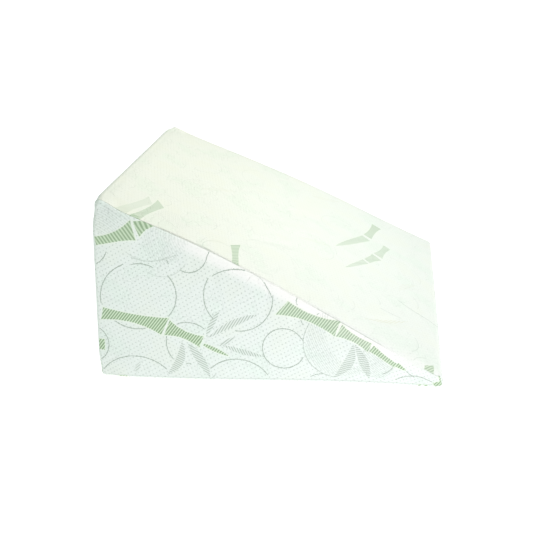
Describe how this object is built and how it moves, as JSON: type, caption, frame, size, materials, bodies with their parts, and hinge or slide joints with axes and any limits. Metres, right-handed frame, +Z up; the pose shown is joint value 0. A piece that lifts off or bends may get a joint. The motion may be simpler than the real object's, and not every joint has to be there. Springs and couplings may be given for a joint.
{
  "type": "wedge pillow",
  "caption": "Foam wedge pillow in a fitted knit cover: tall square heel, one crowned slope falling to a thin toe, flat base.",
  "frame": {"origin": "middle of the base, on the surface that the pillow rests on", "axes": "+X from the tall heel to the thin toe, +Y from the near side panel to the far one, +Z up"},
  "size_m": [0.6145, 0.6164, 0.3287],
  "materials": {
    "knit_cover": "pale double knit cover, matt, with a woven-in leaf and stem pattern in grey-green"
  },
  "bodies": {
    "root": {"wedge_cushion": "knit_cover"}
  },
  "joints": []
}
